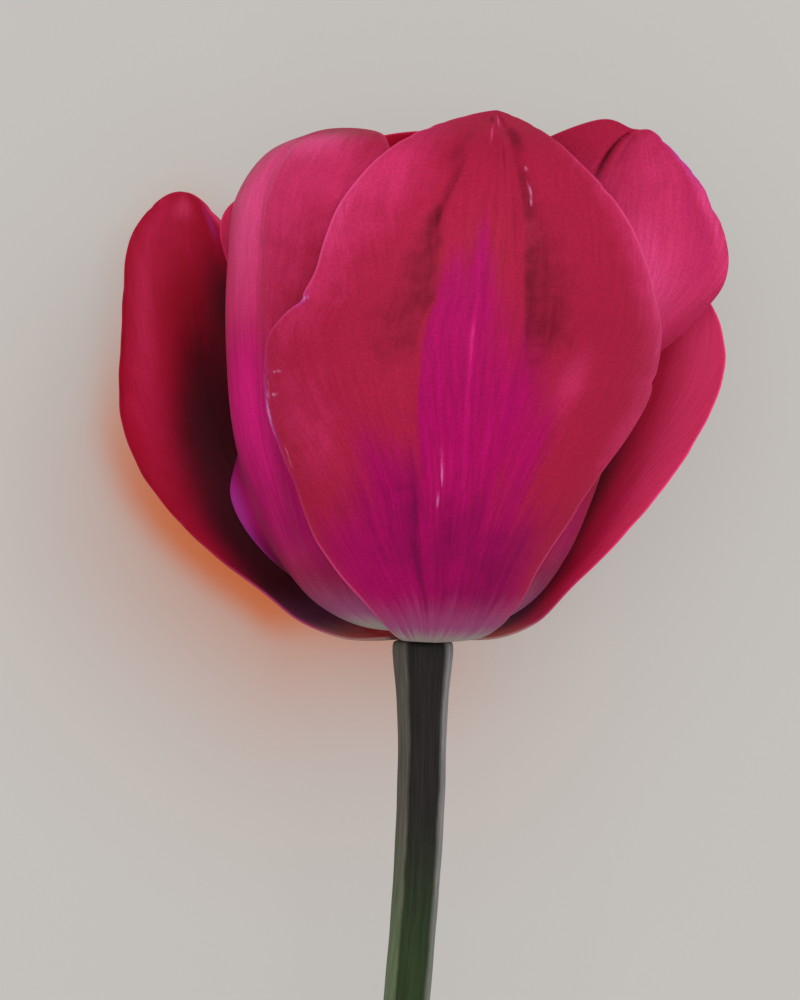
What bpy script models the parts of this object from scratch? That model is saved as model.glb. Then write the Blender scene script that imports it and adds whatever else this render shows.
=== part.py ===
"""A cut tulip lying on its side: six petals in two whorls, six stamens, a pistil and a bare stem.

Metres, +Z up. The bloom's axis runs along +Y with its mouth at +Y. The origin is on the surface that
the flower lies on, midway under it. Shapes are worked out in millimetres round the base of the bloom:
X to the side, "height" along the axis from the base towards the mouth, Z up.
"""

import math
from dataclasses import dataclass

import bmesh
import bpy
import numpy as np
from mathutils import Vector

# Driving dimensions, in millimetres
MM = 0.001
AXIS_HEIGHT = 29.0  # of the bloom's axis above the surface
BLOOM_BASE = (0.0, 43.8)  # X and Y of the bloom's base in the part's frame
PETAL_THICKNESS = 0.8
PETAL_CELLS_ACROSS = 16
PETAL_CELLS_ALONG = 23
TIP_CROWDING = 1.7  # over 1 sets the rows of a petal closer together towards its tip

STEM_LENGTH = 150.0
STEM_SIDES = 16
STEM_RINGS = 30
SHOULDER_RADIUS = 3.6  # the stem's widened top, which carries the outer petals
SHOULDER_HEIGHT = -0.4
POST_RADIUS = 2.5  # the receptacle above it, which the inner petals stand round
POST_HEIGHT = 2.4
SEAT_GAP = 0.3
STEM_SHARP_ANGLE = 50.0  # edges over this many degrees stay sharp

STAMEN_COUNT = 6
STAMEN_SIDES = 8
COLLAR_INNER_RADIUS = 1.8
COLLAR_OUTER_RADIUS = 2.7
COLLAR_THICKNESS = 1.2
PISTIL_SIDES = 24

CRIMSON = (0.36, 0.012, 0.05)
MAGENTA = (0.40, 0.010, 0.11)
STEM_GREEN = (0.045, 0.07, 0.028)
OVARY_GREEN = (0.30, 0.38, 0.16)
ANTHER_PURPLE = (0.035, 0.015, 0.045)
PETAL_ROUGHNESS = 0.5
GREEN_ROUGHNESS = 0.45
ANTHER_ROUGHNESS = 0.7


@dataclass
class Petal:
    """One petal as a row of cross-sections, from its claw at the base to its tip.

    Each station is: height, radius, left width, right width, left bend, right bend, twist.
    The widths are arc lengths from the rib to each margin, seen from outside with the mouth up.
    A bend is the section's curvature at that margin, times the radius: 1 follows the cup,
    0 is flat and below 0 rolls outward. The twist turns the section about the rib, in degrees,
    its right margin outward.
    """

    name: str
    azimuth: float  # of the rib round the axis, in degrees from straight up towards +X
    stations: list
    colour: tuple
    rib_bend: float = 1.0  # the same measure as the margins' bends, at the rib
    bend_growth: float = 1.5  # over 1 keeps the change of bend near the margin
    lean: float = 0.0  # sideways drift of the tip
    shoulder: float = 0.66  # share of the length past which the tip rounds off
    roundness: float = 2.0
    bluntness: float = 0.6
    notch: float = 0.0  # depth of the dip at the tip of the rib
    ruffle: float = 0.35  # wave along the margins
    waves: float = 2.5


NOTCH_WIDTH = 2.5
NOTCH_START = 0.85

OUTER_FRONT = Petal(
    "petal_outer_front",
    azimuth=11,
    lean=5.0,
    shoulder=0.62,
    roundness=2.4,
    bluntness=0.75,
    colour=MAGENTA,
    stations=[
        (0.3, 3.4, 2.5, 2.5, 1.0, 1.0, 0),
        (0.5, 8.5, 4.6, 6.0, 1.0, 1.0, 0),
        (4.0, 15.0, 9.4, 9.0, 1.0, 1.0, 0),
        (10.0, 19.5, 16.0, 11.5, 1.0, 1.0, 0),
        (19.0, 24.0, 22.0, 17.5, 1.0, 0.9, 0),
        (30.0, 27.0, 27.5, 26.0, 1.0, 0.7, 0),
        (36.0, 27.7, 27.0, 26.0, 1.0, 0.6, 0),
        (40.0, 28.0, 23.0, 24.0, 1.0, 0.6, 0),
        (50.0, 27.0, 21.5, 19.0, 1.0, 0.8, 0),
        (57.0, 23.8, 21.0, 14.0, 1.0, 1.0, 0),
        (61.8, 18.0, 20.0, 12.0, 1.0, 1.0, 0),
    ],
)

INNER_LEFT = Petal(
    "petal_inner_left",
    azimuth=-56,
    bend_growth=4.0,
    shoulder=0.68,
    roundness=3.0,
    bluntness=0.5,
    colour=CRIMSON,
    stations=[
        (1.4, 2.9, 2.4, 2.4, 1.0, 1.0, 0),
        (2.0, 7.5, 6.3, 6.3, 1.0, 1.0, 0),
        (4.8, 12.8, 12.0, 11.0, 1.0, 1.0, 0),
        (10.2, 17.0, 16.6, 15.0, -5.0, 1.0, 0),
        (17.0, 20.0, 20.4, 18.0, -7.0, 1.0, 0),
        (24.0, 22.3, 20.5, 20.5, -1.0, 1.0, 0),
        (34.0, 23.3, 21.5, 21.5, 1.0, 1.0, 0),
        (45.0, 23.2, 21.0, 21.0, 1.0, 1.0, 0),
        (53.0, 22.2, 21.0, 20.0, 1.0, 1.0, 0),
        (58.0, 18.7, 22.0, 19.0, 1.0, 1.0, 0),
        (60.5, 13.5, 22.0, 18.0, 1.0, 1.0, 0),
    ],
)

OUTER_LEFT = Petal(
    "petal_outer_left",
    azimuth=-122,
    rib_bend=0.3,
    roundness=2.6,
    bluntness=0.42,
    colour=CRIMSON,
    stations=[
        (0.3, 3.4, 2.8, 2.8, 1.0, 1.0, 0),
        (0.3, 8.0, 6.8, 6.8, 1.0, 1.0, 0),
        (2.0, 12.0, 9.5, 9.0, 1.0, 0.8, 2),
        (5.8, 16.3, 12.5, 10.5, 1.2, 0.4, 5),
        (10.4, 20.3, 15.5, 14.0, 1.5, 0.3, 9),
        (16.2, 24.6, 18.5, 17.0, 2.2, 0.2, 11),
        (24.0, 29.0, 20.0, 18.0, 2.8, 0.2, 10),
        (33.0, 32.0, 20.0, 17.5, 3.0, 0.2, 5),
        (42.0, 34.0, 17.0, 17.0, 3.2, 0.3, 0),
        (50.0, 35.0, 12.5, 15.0, 3.8, 0.4, 0),
        (55.3, 35.0, 9.0, 11.0, 4.2, 0.5, 0),
    ],
)

OUTER_RIGHT = Petal(
    "petal_outer_right",
    azimuth=122,
    rib_bend=0.3,
    bluntness=0.8,
    colour=CRIMSON,
    stations=[
        (0.3, 3.4, 2.6, 2.8, 1.0, 1.0, 0),
        (0.4, 8.0, 6.3, 6.8, 1.0, 1.0, 0),
        (2.2, 12.0, 8.5, 9.5, 0.8, 1.0, 0),
        (5.8, 15.6, 9.5, 12.5, 0.4, 1.2, 0),
        (10.2, 19.2, 12.0, 15.5, 0.3, 1.4, -1),
        (18.2, 24.3, 15.5, 18.5, 0.2, 1.5, -4),
        (25.2, 28.7, 17.0, 20.5, 0.2, 1.4, -6),
        (33.0, 31.2, 18.0, 21.0, 0.2, 1.4, -7),
        (40.0, 32.2, 17.0, 20.5, 0.2, 1.5, -5),
        (46.0, 32.7, 14.0, 19.5, 0.4, 1.9, -2),
        (52.0, 32.4, 12.0, 18.0, 0.5, 2.0, 0),
    ],
)

INNER_RIGHT = Petal(
    "petal_inner_right",
    azimuth=62,
    shoulder=0.78,
    roundness=2.5,
    notch=1.8,
    colour=MAGENTA,
    stations=[
        (1.4, 2.9, 2.4, 2.4, 1.0, 1.0, 0),
        (2.0, 7.5, 6.3, 6.3, 1.0, 1.0, 0),
        (4.8, 12.8, 11.0, 10.0, 1.0, 1.0, 0),
        (10.2, 17.0, 15.0, 13.0, 1.0, 1.0, 0),
        (17.0, 20.0, 18.0, 13.5, 1.0, 1.0, 0),
        (24.0, 22.3, 20.0, 12.5, 1.0, 1.0, 0),
        (31.0, 23.3, 21.5, 12.5, 1.0, 0.5, 4),
        (36.0, 23.5, 21.5, 16.0, 1.0, -0.5, 22),
        (42.0, 23.5, 21.0, 20.0, 1.0, -1.0, 34),
        (50.0, 23.7, 18.0, 18.5, 1.0, -1.0, 38),
        (56.0, 25.3, 16.0, 13.0, 1.0, -1.0, 38),
        (61.8, 28.0, 15.0, 5.0, 1.0, -1.0, 36),
    ],
)

INNER_BACK = Petal(
    "petal_inner_back",
    azimuth=182,
    colour=CRIMSON,
    stations=[
        (1.4, 2.9, 2.4, 2.4, 1.0, 1.0, 0),
        (2.0, 7.5, 6.3, 6.3, 1.0, 1.0, 0),
        (4.8, 12.8, 11.0, 11.0, 1.0, 1.0, 0),
        (10.2, 17.0, 15.0, 15.0, 1.0, 1.0, 0),
        (17.0, 20.0, 18.0, 18.0, 1.0, 1.0, 0),
        (24.0, 22.3, 20.0, 20.0, 1.0, 1.0, 0),
        (34.0, 23.3, 21.5, 22.0, 1.0, 0.8, 0),
        (45.0, 24.0, 21.5, 27.0, 1.0, 0.2, 0),
        (53.0, 23.5, 21.0, 29.5, 1.0, -0.4, 0),
        (58.0, 20.0, 20.0, 25.0, 1.0, 0.0, 0),
        (62.4, 14.0, 20.0, 22.0, 1.0, 0.5, 0),
    ],
)

PETALS = [OUTER_FRONT, OUTER_LEFT, OUTER_RIGHT, INNER_LEFT, INNER_RIGHT, INNER_BACK]

# The stem's line below the bloom: distance down it, sideways bow, drop towards the surface
STEM_LINE = [
    (0.0, 0.0, 0.0),
    (20.0, -0.3, -0.4),
    (43.0, -1.9, -2.6),
    (75.0, -5.3, -8.8),
    (108.0, -9.8, -18.6),
    (134.0, -13.2, -25.6),
    (STEM_LENGTH, -15.0, -26.6),
]
# Radius of the stem at distances down it, from under its shoulder
STEM_RADII = [(1.0, 3.55), (7.0, 3.1), (20.0, 2.87), (50.0, 2.8), (100.0, 2.85), (STEM_LENGTH, 3.0)]

# Radii of one stamen along its length: the thread, the joint and the pollen sac
STAMEN_LINE = [
    (2.25, 3.2, 0.40),
    (3.1, 5.6, 0.50),
    (4.1, 8.6, 0.55),
    (4.8, 11.0, 0.42),
    (5.0, 11.8, 0.80),
    (5.2, 13.2, 1.15),
    (5.4, 16.5, 1.20),
    (5.5, 19.5, 1.10),
    (5.5, 21.3, 0.75),
    (5.5, 22.0, 0.30),
]

# Height and radius up the pistil, and how strongly the section is drawn into three lobes
PISTIL_LINE = [
    (POST_HEIGHT + SEAT_GAP, 1.45, 0.0),
    (4.6, 1.45, 0.0),
    (6.5, 2.1, 0.03),
    (10.0, 2.8, 0.06),
    (15.0, 3.2, 0.07),
    (20.0, 3.05, 0.07),
    (23.5, 2.35, 0.06),
    (25.0, 2.0, 0.10),
    (26.0, 2.7, 0.28),
    (27.2, 3.6, 0.36),
    (28.4, 3.3, 0.34),
    (29.0, 1.9, 0.25),
]


def smooth_rows(places, rows, at):
    """Reads rows of numbers, given at these places, off the smooth curve through them."""
    places = np.asarray(places, float)
    rows = np.asarray(rows, float)
    step = np.diff(places)
    rise = np.diff(rows, axis=0) / step[:, None]
    slope = np.empty_like(rows)
    slope[0] = rise[0]
    slope[-1] = rise[-1]
    weighted = rise[:-1] * step[1:, None] + rise[1:] * step[:-1, None]
    slope[1:-1] = weighted / (step[:-1] + step[1:])[:, None]
    k = np.clip(np.searchsorted(places, at) - 1, 0, len(step) - 1)
    t = ((at - places[k]) / step[k])[:, None]
    span = step[k][:, None]
    start = (1 + 2 * t) * (1 - t) ** 2 * rows[k] + t * (1 - t) ** 2 * span * slope[k]
    end = t * t * (3 - 2 * t) * rows[k + 1] + t * t * (t - 1) * span * slope[k + 1]
    return start + end


def running_sum(values, step):
    """The trapezium integral of the values up to each of them."""
    return np.concatenate([[0.0], np.cumsum((values[1:] + values[:-1]) / 2) * step])


def half_section(petal, width, bend, radius, shares):
    """Sideways and outward distance from the rib, at these shares of the way to a margin."""
    fine = np.linspace(0.0, 1.0, 65)
    step = width / (len(fine) - 1)
    curvature = (petal.rib_bend + (bend - petal.rib_bend) * fine**petal.bend_growth) / max(radius, 2.0)
    turn = running_sum(curvature, step)
    sideways = running_sum(np.cos(turn), step)
    outward = -running_sum(np.sin(turn), step)
    return np.interp(shares, fine, sideways), np.interp(shares, fine, outward)


def petal_sheet(petal):
    """The petal's middle surface: points[along, across] in millimetres round the bloom's base."""
    stations = np.array(petal.stations, float)
    reach = np.cumsum(np.hypot(*np.diff(stations[:, :2], axis=0, prepend=stations[:1, :2]).T))
    along = 1 - (1 - np.linspace(0.0, 1.0, PETAL_CELLS_ALONG + 1)) ** TIP_CROWDING
    table = smooth_rows(reach / reach[-1], stations, along)
    across = np.linspace(-1.0, 1.0, PETAL_CELLS_ACROSS + 1)
    azimuth = math.radians(petal.azimuth)
    points = np.zeros((len(along), len(across), 3))
    for row, share in enumerate(along):
        height, radius, left, right, left_bend, right_bend, twist = table[row]
        closing = np.clip((share - petal.shoulder) / (1 - petal.shoulder), 0, 1)
        closure = (1 - closing**petal.roundness) ** petal.bluntness
        near_tip = np.clip((share - NOTCH_START) / (1 - NOTCH_START), 0, 1) ** 2
        facing = azimuth - math.radians(twist)
        outward = np.array([math.sin(facing), math.cos(facing)])
        sideways = np.array([math.cos(facing), -math.sin(facing)])
        rib = radius * np.array([math.sin(azimuth), math.cos(azimuth)])
        rib += petal.lean * share**2 * np.array([math.cos(azimuth), -math.sin(azimuth)])
        for side, width, bend in ((-1, left, left_bend), (1, right, right_bend)):
            here = across < 0 if side < 0 else across >= 0
            shares = np.abs(across[here])
            offset, lift = half_section(petal, width * closure, bend, radius, shares)
            wave = math.sin(2 * math.pi * petal.waves * share + azimuth + side)
            lift = lift + petal.ruffle * wave * shares**4 * min(1.0, 2 * share) * closure
            flat = rib + side * offset[:, None] * sideways + lift[:, None] * outward
            points[row, here, 0] = flat[:, 0]
            points[row, here, 1] = height - petal.notch * near_tip * np.exp(-((offset / NOTCH_WIDTH) ** 2))
            points[row, here, 2] = flat[:, 1]
    return points


def add_object(name, mesh, colour, roughness):
    """An object at the bloom's base, with a plain material of its own."""
    material = bpy.data.materials.new(name)
    material.use_nodes = True
    shader = material.node_tree.nodes["Principled BSDF"]
    shader.inputs["Base Color"].default_value = (*colour, 1.0)
    shader.inputs["Roughness"].default_value = roughness
    shader.inputs["Metallic"].default_value = 0.0
    mesh.materials.append(material)
    mesh.shade_smooth()
    obj = bpy.data.objects.new(name, mesh)
    obj.location = (BLOOM_BASE[0] * MM, BLOOM_BASE[1] * MM, AXIS_HEIGHT * MM)
    bpy.context.scene.collection.objects.link(obj)
    return obj


def mesh_from(name, points, faces):
    """A mesh from points in millimetres."""
    mesh = bpy.data.meshes.new(name)
    mesh.from_pydata([Vector(point) * MM for point in points], [], faces)
    mesh.validate()
    return mesh


def make_petal(petal):
    """A petal's sheet, split into triangles and then thickened, so that both faces are split alike."""
    sheet = petal_sheet(petal)
    sheet[:, :, 2] = np.maximum(sheet[:, :, 2], PETAL_THICKNESS / 2 - AXIS_HEIGHT)
    rows, columns = sheet.shape[:2]
    points = [*sheet[:-1].reshape(-1, 3), sheet[-1, columns // 2]]
    tip = len(points) - 1
    faces = []
    for row in range(rows - 2):
        for column in range(columns - 1):
            corner = row * columns + column
            above = corner + columns
            faces.append((corner, corner + 1, above + 1))
            faces.append((corner, above + 1, above))
    last = (rows - 2) * columns
    for column in range(columns - 1):
        faces.append((last + column, last + column + 1, tip))
    obj = add_object(petal.name, mesh_from(petal.name, points, faces), petal.colour, PETAL_ROUGHNESS)
    thicken = obj.modifiers.new("thickness", "SOLIDIFY")
    thicken.thickness = PETAL_THICKNESS * MM
    thicken.offset = 0.0
    thicken.use_rim = True
    return obj


def ring_points(centre, axis, radius, sides):
    """A ring of points square to the axis, its first side parallel to the surface."""
    centre = Vector(centre)
    axis = Vector(axis).normalized()
    across = Vector((0, 0, 1)).cross(axis)
    across = across.normalized() if across.length > 1e-6 else Vector((1, 0, 0))
    up = axis.cross(across)
    ring = []
    for side in range(sides):
        angle = 2 * math.pi * (side + 0.5) / sides
        ring.append(centre + (math.sin(angle) * across + math.cos(angle) * up) * radius)
    return ring


def join_rings(rings):
    """Points and faces of a closed solid through rings of the same number of points, ends filled."""
    sides = len(rings[0])
    points = [point for ring in rings for point in ring]
    faces = [tuple(range(sides))[::-1]]
    for ring in range(len(rings) - 1):
        for side in range(sides):
            here = ring * sides + side
            beside = ring * sides + (side + 1) % sides
            faces.append((here, beside, beside + sides, here + sides))
    faces.append(tuple(range(len(points) - sides, len(points))))
    return points, faces


def face_outward(mesh):
    """Turns every face of a closed mesh outward."""
    shape = bmesh.new()
    shape.from_mesh(mesh)
    bmesh.ops.recalc_face_normals(shape, faces=shape.faces)
    shape.to_mesh(mesh)
    shape.free()


def make_stem():
    """The post inside the bloom, the shoulder under the petals and the bare stem down to its cut end."""
    down = (0, -1, 0)
    rings = []
    for height, radius in (
        (POST_HEIGHT, POST_RADIUS),
        (SHOULDER_HEIGHT, POST_RADIUS),
        (SHOULDER_HEIGHT, SHOULDER_RADIUS),
    ):
        rings.append(ring_points((0, height, 0), down, radius, STEM_SIDES))
    line = np.array(STEM_LINE)
    radii = np.array(STEM_RADII)
    places = np.linspace(STEM_RADII[0][0], STEM_LENGTH, STEM_RINGS)
    track = smooth_rows(line[:, 0], line, places)
    slope = np.gradient(track, places, axis=0)
    thickness = smooth_rows(radii[:, 0], radii, places)[:, 1]
    for (depth, bow, drop), (_, bow_slope, drop_slope), radius in zip(track, slope, thickness):
        ring = ring_points((bow, -depth, drop), (bow_slope, -1, drop_slope), radius, STEM_SIDES)
        rings.append([Vector((p.x, p.y, max(p.z, -AXIS_HEIGHT))) for p in ring])
    points, faces = join_rings(rings)
    mesh = mesh_from("stem", points, faces)
    face_outward(mesh)
    obj = add_object("stem", mesh, STEM_GREEN, GREEN_ROUGHNESS)
    obj.data.set_sharp_from_angle(angle=math.radians(STEM_SHARP_ANGLE))
    return obj


def make_pistil():
    """The green ovary with its three-lobed stigma, standing on the post."""
    rings = []
    for height, radius, lobing in PISTIL_LINE:
        ring = []
        for side in range(PISTIL_SIDES):
            angle = 2 * math.pi * side / PISTIL_SIDES
            reach = radius * (1 + lobing * math.cos(3 * angle))
            ring.append(Vector((reach * math.sin(angle), height, reach * math.cos(angle))))
        rings.append(ring)
    points, faces = join_rings(rings)
    mesh = mesh_from("pistil", points, faces)
    face_outward(mesh)
    return add_object("pistil", mesh, OVARY_GREEN, GREEN_ROUGHNESS)


def make_collar():
    """The ring round the pistil's foot that the stamens grow from."""
    floor = POST_HEIGHT + SEAT_GAP
    profile = [
        (COLLAR_INNER_RADIUS, floor),
        (COLLAR_OUTER_RADIUS, floor),
        (COLLAR_OUTER_RADIUS, floor + COLLAR_THICKNESS),
        (COLLAR_INNER_RADIUS, floor + COLLAR_THICKNESS),
    ]
    points = []
    faces = []
    for side in range(PISTIL_SIDES):
        angle = 2 * math.pi * side / PISTIL_SIDES
        for radius, height in profile:
            points.append(Vector((radius * math.sin(angle), height, radius * math.cos(angle))))
        for corner in range(len(profile)):
            beside = (corner + 1) % len(profile)
            here = side * len(profile)
            on = (side + 1) % PISTIL_SIDES * len(profile)
            faces.append((here + corner, here + beside, on + beside, on + corner))
    mesh = mesh_from("stamens", points, faces)
    face_outward(mesh)
    return add_object("stamens", mesh, ANTHER_PURPLE, ANTHER_ROUGHNESS)


def make_stamen(number):
    """One stamen, its foot sunk into the collar."""
    angle = 2 * math.pi * (number + 0.5) / STAMEN_COUNT
    line = [Vector((r * math.sin(angle), h, r * math.cos(angle))) for r, h, _ in STAMEN_LINE]
    rings = []
    for place, (_, _, radius) in enumerate(STAMEN_LINE):
        ahead = line[min(place + 1, len(line) - 1)]
        behind = line[max(place - 1, 0)]
        rings.append(ring_points(line[place], ahead - behind, radius, STAMEN_SIDES))
    points, faces = join_rings(rings)
    mesh = mesh_from(f"stamen_{number}", points, faces)
    face_outward(mesh)
    return add_object(f"stamen_{number}", mesh, ANTHER_PURPLE, ANTHER_ROUGHNESS)


def make_stamens():
    """Six stamens and their collar, joined into one body."""
    collar = make_collar()
    group = bpy.data.collections.new("stamens to join")
    bpy.context.scene.collection.children.link(group)
    for number in range(STAMEN_COUNT):
        stamen = make_stamen(number)
        bpy.context.scene.collection.objects.unlink(stamen)
        group.objects.link(stamen)
    union = collar.modifiers.new("join", "BOOLEAN")
    union.operation = "UNION"
    union.operand_type = "COLLECTION"
    union.collection = group
    bpy.context.view_layer.update()
    joined = bpy.data.meshes.new_from_object(collar.evaluated_get(bpy.context.evaluated_depsgraph_get()))
    joined.name = "stamens joined"
    collar.modifiers.clear()
    collar.data = joined
    for stamen in list(group.objects):
        bpy.data.objects.remove(stamen)
    bpy.data.collections.remove(group)
    return collar


def main():
    for obj in list(bpy.data.objects):
        bpy.data.objects.remove(obj)
    make_stem()
    make_pistil()
    make_stamens()
    for petal in PETALS:
        make_petal(petal)


main()
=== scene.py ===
"""The looks of a cut tulip lying on its side, seen from straight above.

Metres, +Z up. The petals' shapes are worked out in millimetres round the base of the bloom: X to the
side, "height" along the bloom's axis towards its mouth, Z up. They are the CAD petals' own
cross-sections on a finer grid, with thin rounded margins, nicks and low relief.
"""

import math
from dataclasses import dataclass, field

import bmesh
import bpy
import numpy as np
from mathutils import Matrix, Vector


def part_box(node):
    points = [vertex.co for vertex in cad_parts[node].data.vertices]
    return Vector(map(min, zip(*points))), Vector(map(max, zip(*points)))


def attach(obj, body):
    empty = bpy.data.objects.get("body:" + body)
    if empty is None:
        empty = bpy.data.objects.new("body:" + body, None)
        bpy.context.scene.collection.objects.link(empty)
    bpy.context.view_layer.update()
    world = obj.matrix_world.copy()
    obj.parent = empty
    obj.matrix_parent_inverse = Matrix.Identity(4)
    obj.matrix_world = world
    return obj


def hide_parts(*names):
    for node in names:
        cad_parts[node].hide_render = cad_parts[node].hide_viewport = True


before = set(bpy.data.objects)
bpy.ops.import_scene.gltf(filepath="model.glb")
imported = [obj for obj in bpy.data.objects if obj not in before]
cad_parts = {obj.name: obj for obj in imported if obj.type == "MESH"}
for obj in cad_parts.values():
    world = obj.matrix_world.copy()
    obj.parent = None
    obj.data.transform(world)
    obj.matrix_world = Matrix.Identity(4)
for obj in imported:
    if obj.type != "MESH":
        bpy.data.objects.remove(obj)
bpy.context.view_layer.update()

MM = 0.001

# The bloom's base, worked out from the frame: the pistil stands on the axis, and the CAD stem's
# post reaches this far up into the bloom
POST_HEIGHT = 2.4
pistil_low, pistil_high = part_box("pistil")
_, stem_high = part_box("stem")
AXIS_HEIGHT = (pistil_low[2] + pistil_high[2]) / 2 / MM
BLOOM_BASE = ((pistil_low[0] + pistil_high[0]) / 2 / MM, stem_high[1] / MM - POST_HEIGHT)

# Petals
CELLS_ACROSS = 128
CELLS_ALONG = 180
TIP_CROWDING = 1.7  # over 1 sets the rows closer together towards the tip
MARGIN_SHARES = (0.0008, 0.0025, 0.0055, 0.01)  # extra columns that round off each margin
CLAW_THICKNESS = 1.1
BLADE_THICKNESS = 0.5
MARGIN_THICKNESS = 0.26
MARGIN_ROUNDING = 0.2
CLAW_FADE = 9.0  # length over which the thick claw thins into the blade
MARGIN_FADE = 3.0  # width over which the blade thins towards its margin
FINE_RIPPLE = 0.05
COARSE_RIPPLE = 0.08
SECTION_STEPS = 128
SMALLEST_BEND_RADIUS = 2.0
NOTCH_WIDTH = 2.5
NOTCH_START = 0.85  # share of the length
FLUTE_FADE = 0.1  # share of the length over which a flute rises and dies out
FLAT_MARGIN = 2.0  # width beside the margin where the flutes die out
VEIN_FAN = 3.0  # how far the veins spread from the rib on their way to the tip
TINY = 1e-9

# Stem
STEM_LENGTH = 150.0
STEM_SIDES = 72
STEM_RINGS = 260
STEM_TOP = 8.0  # the stretch under the bloom with rings closer together
STEM_TOP_RINGS = 90


@dataclass
class Petal:
    """One petal as a row of cross-sections, from its claw at the base to its tip.

    Each station is: height, radius, left width, right width, left bend, right bend, twist.
    The widths are arc lengths from the rib to each margin, seen from outside with the mouth up.
    A bend is the section's curvature at that margin, times the radius: 1 follows the cup,
    0 is flat and below 0 rolls outward. The twist turns the section about the rib, in degrees,
    its right margin outward.
    """

    name: str
    azimuth: float  # of the rib round the axis, in degrees from straight up towards +X
    stations: list
    slot: str
    rib_bend: float = 1.0
    bend_growth: float = 1.5
    lean: float = 0.0  # of the tip to one side, in mm
    shoulder: float = 0.66  # share of the length where the petal starts to close in
    roundness: float = 2.0  # power of the closing curve, higher stays wide for longer
    bluntness: float = 0.6  # power at the very tip, lower is blunter
    notch: float = 0.0  # depth of the dent in the tip, in mm
    ruffle: float = 0.35  # height of the margins' waves, in mm
    waves: float = 2.5  # their number from claw to tip
    thinness: float = 0.12  # share of the light that goes through the petal
    nicks: list = field(default_factory=list)  # side, share of the length, depth, half width in shares
    flutes: list = field(default_factory=list)  # place across, half width, height in mm, from, to
    paint: dict = field(default_factory=dict)  # mask name to its soft patches


# The inner petals' claws have the same lowest stations
INNER_CLAW = [(1.4, 2.9, 2.4, 2.4, 1.0, 1.0, 0), (2.0, 7.5, 6.3, 6.3, 1.0, 1.0, 0)]

OUTER_FRONT = Petal(
    "petal_outer_front",
    azimuth=11,
    lean=5.0,
    shoulder=0.62,
    roundness=2.4,
    bluntness=0.75,
    slot="petal_magenta",
    stations=[
        (0.3, 3.4, 2.5, 2.5, 1.0, 1.0, 0),
        (0.5, 8.5, 4.6, 6.0, 1.0, 1.0, 0),
        (4.0, 15.0, 9.4, 9.0, 1.0, 1.0, 0),
        (10.0, 19.5, 16.0, 11.5, 1.0, 1.0, 0),
        (19.0, 24.0, 22.0, 17.5, 1.0, 0.9, 0),
        (30.0, 27.0, 27.5, 26.0, 1.0, 0.7, 0),
        (36.0, 27.7, 27.0, 26.0, 1.0, 0.6, 0),
        (40.0, 28.0, 23.0, 24.0, 1.0, 0.6, 0),
        (50.0, 27.0, 21.5, 19.0, 1.0, 0.8, 0),
        (57.0, 23.8, 21.0, 14.0, 1.0, 1.0, 0),
        (61.8, 18.0, 20.0, 12.0, 1.0, 1.0, 0),
    ],
)

INNER_LEFT = Petal(
    "petal_inner_left",
    azimuth=-56,
    bend_growth=4.0,
    shoulder=0.68,
    roundness=3.0,
    bluntness=0.5,
    slot="petal_crimson",
    stations=[
        *INNER_CLAW,
        (4.8, 12.8, 12.0, 11.0, 1.0, 1.0, 0),
        (10.2, 17.0, 16.6, 15.0, -5.0, 1.0, 0),
        (17.0, 20.0, 20.4, 18.0, -7.0, 1.0, 0),
        (24.0, 22.3, 20.5, 20.5, -1.0, 1.0, 0),
        (34.0, 23.3, 21.5, 21.5, 1.0, 1.0, 0),
        (45.0, 23.2, 21.0, 21.0, 1.0, 1.0, 0),
        (53.0, 22.2, 21.0, 20.0, 1.0, 1.0, 0),
        (58.0, 18.7, 22.0, 19.0, 1.0, 1.0, 0),
        (60.5, 13.5, 22.0, 18.0, 1.0, 1.0, 0),
    ],
)

OUTER_LEFT = Petal(
    "petal_outer_left",
    thinness=0.42,
    azimuth=-122,
    rib_bend=0.3,
    roundness=2.6,
    bluntness=0.42,
    slot="petal_crimson",
    stations=[
        (0.3, 3.4, 2.8, 2.8, 1.0, 1.0, 0),
        (0.3, 8.0, 6.8, 6.8, 1.0, 1.0, 0),
        (2.0, 12.0, 9.5, 9.0, 1.0, 0.8, 2),
        (5.8, 16.3, 12.5, 10.5, 1.2, 0.4, 5),
        (10.4, 20.3, 15.5, 14.0, 1.5, 0.3, 9),
        (16.2, 24.6, 18.5, 17.0, 2.2, 0.2, 11),
        (24.0, 29.0, 20.0, 18.0, 2.8, 0.2, 10),
        (33.0, 32.0, 20.0, 17.5, 3.0, 0.2, 5),
        (42.0, 34.0, 17.0, 17.0, 3.2, 0.3, 0),
        (50.0, 35.0, 12.5, 15.0, 3.8, 0.4, 0),
        (55.3, 35.0, 9.0, 11.0, 4.2, 0.5, 0),
    ],
)

OUTER_RIGHT = Petal(
    "petal_outer_right",
    thinness=0.42,
    azimuth=122,
    rib_bend=0.3,
    bluntness=0.8,
    slot="petal_crimson",
    stations=[
        (0.3, 3.4, 2.6, 2.8, 1.0, 1.0, 0),
        (0.4, 8.0, 6.3, 6.8, 1.0, 1.0, 0),
        (2.2, 12.0, 8.5, 9.5, 0.8, 1.0, 0),
        (5.8, 15.6, 9.5, 12.5, 0.4, 1.2, 0),
        (10.2, 19.2, 12.0, 15.5, 0.3, 1.4, -1),
        (18.2, 24.3, 15.5, 18.5, 0.2, 1.5, -4),
        (25.2, 28.7, 17.0, 20.5, 0.2, 1.4, -6),
        (33.0, 31.2, 18.0, 21.0, 0.2, 1.4, -7),
        (40.0, 32.2, 17.0, 20.5, 0.2, 1.5, -5),
        (46.0, 32.7, 14.0, 19.5, 0.4, 1.9, -2),
        (52.0, 32.4, 12.0, 18.0, 0.5, 2.0, 0),
    ],
)

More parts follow.
